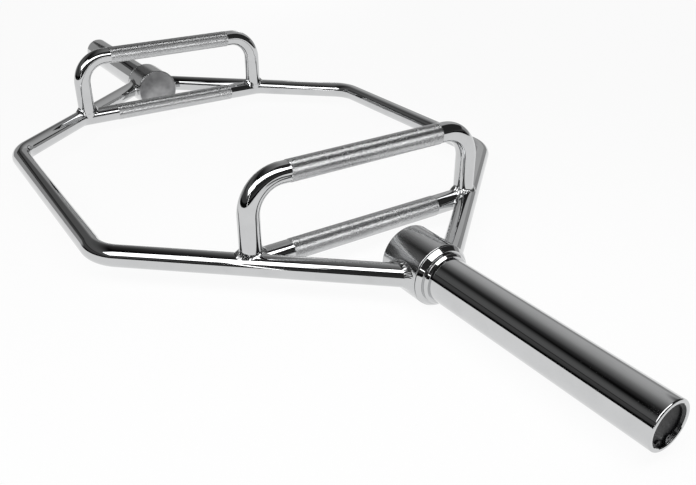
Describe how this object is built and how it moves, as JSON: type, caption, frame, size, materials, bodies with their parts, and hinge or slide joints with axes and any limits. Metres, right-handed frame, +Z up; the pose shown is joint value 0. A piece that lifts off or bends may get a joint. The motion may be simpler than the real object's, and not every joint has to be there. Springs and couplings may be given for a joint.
{
  "type": "hex trap bar",
  "caption": "Chromed hexagonal lifting bar with raised and low knurled handles on both sides and free-turning plate sleeves at the ends.",
  "frame": {"origin": "on the floor plane under the centre of the hexagon, at the middle of the bounding box's base", "axes": "+X along the sleeve axis to the right-hand end, +Y from the front rail to the back rail, +Z up; the raised handles stand up"},
  "size_m": [1.404, 0.5974, 0.1428],
  "materials": {
    "chrome": "bright chrome plate, knurled satin on the grips",
    "weld": "plated weld bead",
    "steel": "ground steel",
    "spring_steel": "black phosphate spring steel",
    "bronze": "plain bearing bronze",
    "black_plastic": "smooth black disc"
  },
  "bodies": {
    "frame": {"front_rail": "chrome", "back_rail": "chrome", "right_hub": "chrome", "left_hub": "chrome", "right_lower_grip": "chrome", "left_lower_grip": "chrome", "right_upper_handle": "chrome", "left_upper_handle": "chrome", "right_hub_welds": "weld", "left_hub_welds": "weld", "right_handle_welds": "weld", "left_handle_welds": "weld", "right_stub_shaft": "steel", "left_stub_shaft": "steel", "right_shaft_washer": "steel", "left_shaft_washer": "steel", "right_shaft_ring": "spring_steel", "left_shaft_ring": "spring_steel"},
    "right_sleeve_group": {"right_sleeve": "chrome", "right_collar": "chrome", "right_inner_bush": "bronze", "right_outer_bush": "bronze", "right_end_disc": "black_plastic", "right_end_ring": "spring_steel"},
    "left_sleeve_group": {"left_sleeve": "chrome", "left_collar": "chrome", "left_inner_bush": "bronze", "left_outer_bush": "bronze", "left_end_disc": "black_plastic", "left_end_ring": "spring_steel"}
  },
  "joints": [
    {"name": "right_sleeve_spin", "type": "hinge", "parent": "frame", "child": "right_sleeve_group", "pos_m": [0.424, 0, 0.035], "axis": [1, 0, 0], "continuous": true},
    {"name": "left_sleeve_spin", "type": "hinge", "parent": "frame", "child": "left_sleeve_group", "pos_m": [-0.424, 0, 0.035], "axis": [1, 0, 0], "continuous": true}
  ]
}
